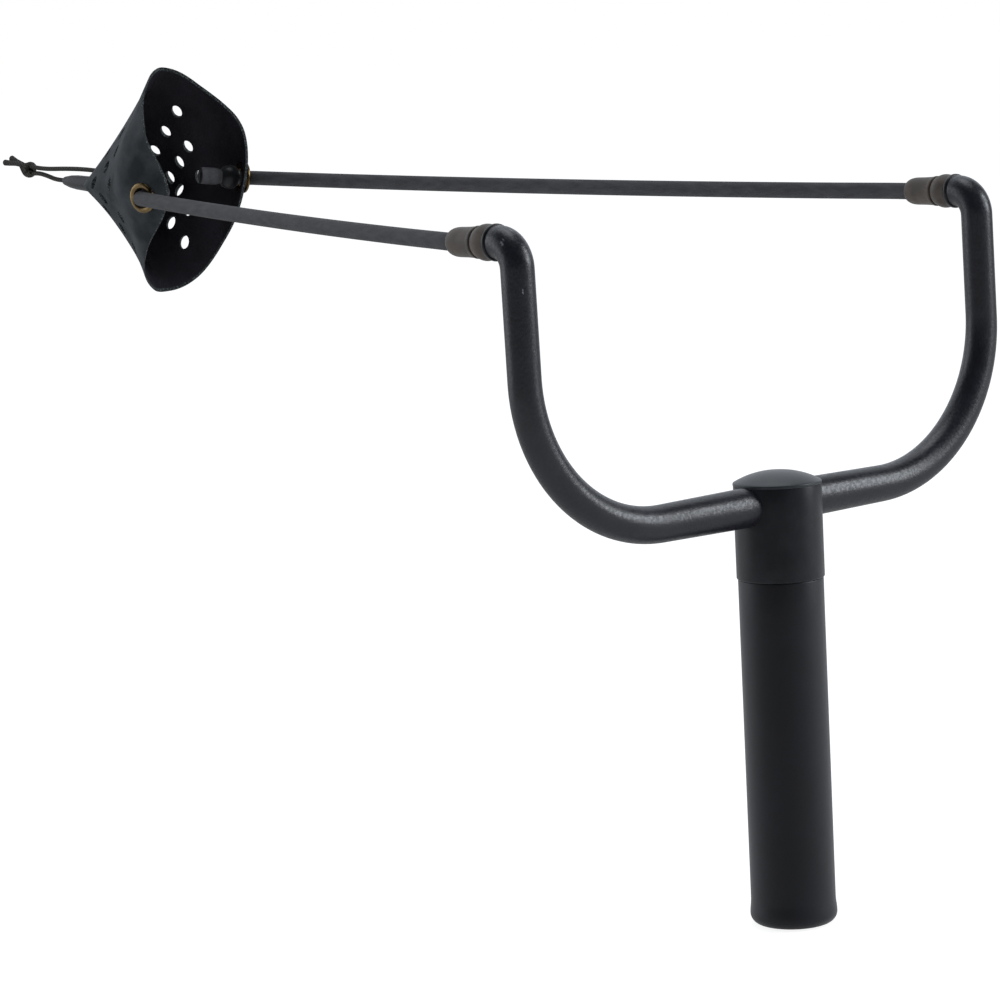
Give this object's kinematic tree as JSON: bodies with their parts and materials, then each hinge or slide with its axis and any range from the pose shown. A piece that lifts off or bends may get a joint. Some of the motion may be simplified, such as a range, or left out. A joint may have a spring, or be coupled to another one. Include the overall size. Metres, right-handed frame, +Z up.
{
  "type": "bait catapult",
  "caption": "Hand-held bait catapult: round rubber grip, bent tube frame with two arms, swivelling elastic connectors, two elastics and a perforated cone pouch with a pull cord.",
  "frame": {"origin": "centre of the grip's bottom face", "axes": "+Z up along the grip, +Y the way the bait flies (the pouch lies towards -Y), +X the right arm"},
  "size_m": [0.1996, 0.4602, 0.2738],
  "materials": {
    "coated_tube": "satin black powder coat",
    "core_plastic": "moulded",
    "grip_rubber": "smooth moulded rubber",
    "head_plastic": "fine moulded texture",
    "steel": "turned",
    "brass": "aged brass",
    "pouch_vinyl": "black synthetic leather sheet",
    "cord": "braided",
    "cord_tube": "soft tube",
    "bush_nylon": "turned",
    "swivel_nylon": "olive, matt",
    "elastic_rubber": "matt latex",
    "bead_plastic": "polished"
  },
  "bodies": {
    "frame": {"frame_tube": "coated_tube", "handle_core": "core_plastic", "grip_sleeve": "grip_rubber", "handle_head": "head_plastic", "head_cap": "head_plastic", "saddle_washer": "steel", "clamp_screw": "steel", "screw_insert": "brass", "right_end_bush": "bush_nylon", "left_end_bush": "bush_nylon", "right_elastic": "elastic_rubber", "left_elastic": "elastic_rubber"},
    "right_connector": {"right_swivel": "swivel_nylon", "right_retaining_clip": "steel", "right_elastic_sleeve": "swivel_nylon"},
    "left_connector": {"left_swivel": "swivel_nylon", "left_retaining_clip": "steel", "left_elastic_sleeve": "swivel_nylon"},
    "pouch": {"pouch_sheet": "pouch_vinyl", "right_eyelet": "brass", "left_eyelet": "brass", "right_eyelet_washer": "brass", "left_eyelet_washer": "brass", "right_stopper_bead": "bead_plastic", "left_stopper_bead": "bead_plastic", "right_tail_plug": "bead_plastic", "left_tail_plug": "bead_plastic", "pull_cord": "cord", "cord_bight": "cord", "pull_knot": "cord", "cord_sleeve": "cord_tube"}
  },
  "joints": [
    {"name": "right_swivel_turn", "type": "hinge", "parent": "frame", "child": "right_connector", "pos_m": [0.0942, -0.0082, 0.22025], "axis": [0, -1, 0], "continuous": true},
    {"name": "left_swivel_turn", "type": "hinge", "parent": "frame", "child": "left_connector", "pos_m": [-0.0942, -0.0082, 0.22025], "axis": [0, -1, 0], "continuous": true},
    {"name": "pouch_draw", "type": "slide", "parent": "frame", "child": "pouch", "axis": [0, -1, 0], "range_m": [0, 0.4], "stiffness_N_per_m": 120, "deforming": ["right_elastic", "left_elastic"]}
  ]
}
